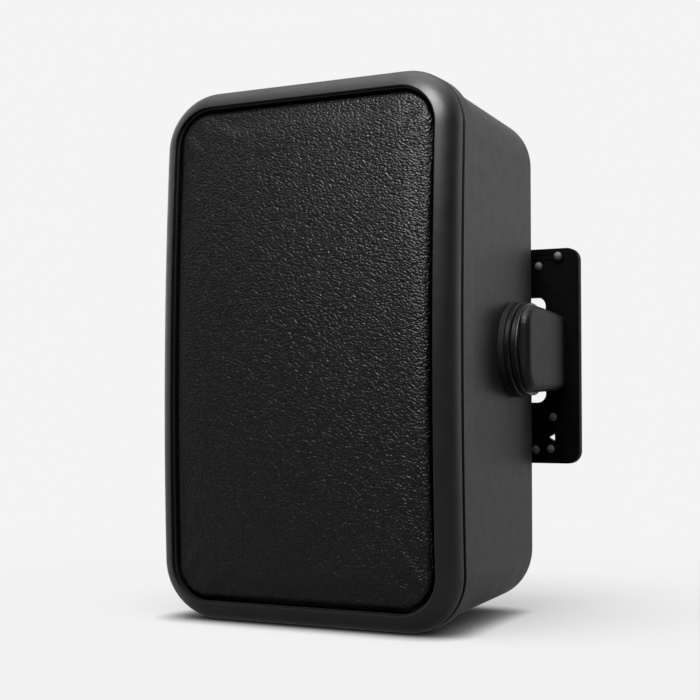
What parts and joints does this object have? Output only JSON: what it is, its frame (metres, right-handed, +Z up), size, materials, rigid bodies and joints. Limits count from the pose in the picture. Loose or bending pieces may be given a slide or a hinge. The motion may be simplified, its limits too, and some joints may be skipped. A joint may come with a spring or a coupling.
{
  "type": "wall speaker",
  "caption": "Compact wall speaker: rounded black cabinet with a bowed bezel and padded leather front, on a side arm that tilts on a wall plate.",
  "frame": {"origin": "centre of the four wall holes, on the back face of the wall plate", "axes": "+X to the speaker's left as it looks into the room's picture, to the viewer's right; +Y from the front to the wall; +Z up"},
  "size_m": [0.1763, 0.1317, 0.26],
  "materials": {
    "shell_plastic": "satin, very fine grain",
    "bezel_plastic": "satin, very fine grain",
    "cover_leather": "pebbled black leather, semi-matte",
    "gasket_rubber": "matte",
    "inner_plastic": "matte moulded",
    "screw_steel": "blackened",
    "basket_metal": "black paint",
    "surround_rubber": "matte",
    "cone_paper": "treated paper",
    "coil_copper": "enamelled copper",
    "spider_cloth": "resin-dipped cloth",
    "pole_steel": "zinc-plated",
    "magnet_ferrite": "matte ferrite",
    "dome_silk": "coated silk",
    "board_green": "lacquered board",
    "capacitor_film": "wrapped film",
    "resistor_ceramic": "white ceramic",
    "post_brass": "plated",
    "nut_steel": "zinc-plated",
    "cap_red": "moulded",
    "wadding_wool": "soft white fibre",
    "wire_red": "insulated wire",
    "wire_black": "insulated wire",
    "bush_plastic": "natural acetal",
    "ring_plastic": "satin",
    "ring_metal": "satin dark grey",
    "arm_plastic": "satin moulded",
    "plate_paint": "black powder coat",
    "rivet_steel": "dull zinc"
  },
  "bodies": {
    "cabinet": {"cabinet_shell": "shell_plastic", "seam_gasket": "gasket_rubber", "front_baffle": "inner_plastic", "baffle_screws": "screw_steel", "front_bezel": "bezel_plastic", "grille_frame": "inner_plastic", "front_cover": "cover_leather", "woofer_basket": "basket_metal", "woofer_trim_ring": "inner_plastic", "woofer_surround": "surround_rubber", "woofer_spider": "spider_cloth", "woofer_top_plate": "pole_steel", "woofer_magnet": "magnet_ferrite", "woofer_yoke": "pole_steel", "woofer_screws": "screw_steel", "tweeter_faceplate": "inner_plastic", "tweeter_top_plate": "pole_steel", "tweeter_magnet": "magnet_ferrite", "tweeter_yoke": "pole_steel", "tweeter_screws": "screw_steel", "crossover_board": "board_green", "crossover_inductors": "coil_copper", "crossover_capacitors": "capacitor_film", "crossover_resistor": "resistor_ceramic", "crossover_screws": "screw_steel", "terminal_cup": "inner_plastic", "terminal_base_red": "cap_red", "terminal_base_black": "inner_plastic", "terminal_posts": "post_brass", "terminal_nuts": "nut_steel", "terminal_screws": "screw_steel", "wadding": "wadding_wool", "input_wires": "wire_red", "woofer_wires": "wire_black", "tweeter_wires": "wire_black", "pivot_bush": "bush_plastic", "rubber_ring": "gasket_rubber", "pivot_collar": "ring_plastic"},
    "bracket": {"pivot_ring": "ring_plastic", "bright_ring": "ring_metal", "pivot_shaft": "nut_steel", "pivot_nut": "nut_steel", "spring_washer": "nut_steel", "bracket_arm": "arm_plastic", "arm_screws": "screw_steel", "wall_plate": "plate_paint", "plate_screws": "rivet_steel"},
    "woofer_coil_and_cone": {"woofer_cone": "cone_paper", "woofer_dust_cap": "cone_paper", "woofer_voice_coil": "coil_copper"},
    "tweeter_coil_and_dome": {"tweeter_dome": "dome_silk", "tweeter_voice_coil": "coil_copper"},
    "red_cap": {"terminal_cap_red": "cap_red"},
    "black_cap": {"terminal_cap_black": "inner_plastic"}
  },
  "joints": [
    {"name": "tilt", "type": "hinge", "parent": "cabinet", "child": "bracket", "pos_m": [0.0287, -0.0462, 0.0014], "axis": [1, 0, 0], "range_deg": [-7, 7]},
    {"name": "woofer_travel", "type": "slide", "parent": "cabinet", "child": "woofer_coil_and_cone", "axis": [0, -1, 0], "range_m": [-0.003, 0.003], "stiffness_N_per_m": 1200, "deforming": ["woofer_surround", "woofer_spider"]},
    {"name": "tweeter_travel", "type": "slide", "parent": "cabinet", "child": "tweeter_coil_and_dome", "axis": [0, -1, 0], "range_m": [-0.0003, 0.0003], "stiffness_N_per_m": 2000},
    {"name": "red_cap_turn", "type": "hinge", "parent": "cabinet", "child": "red_cap", "pos_m": [-0.07928, -0.0336, -0.085], "axis": [0, 1, 0], "continuous": true},
    {"name": "black_cap_turn", "type": "hinge", "parent": "cabinet", "child": "black_cap", "pos_m": [-0.09828, -0.0336, -0.085], "axis": [0, 1, 0], "continuous": true}
  ]
}
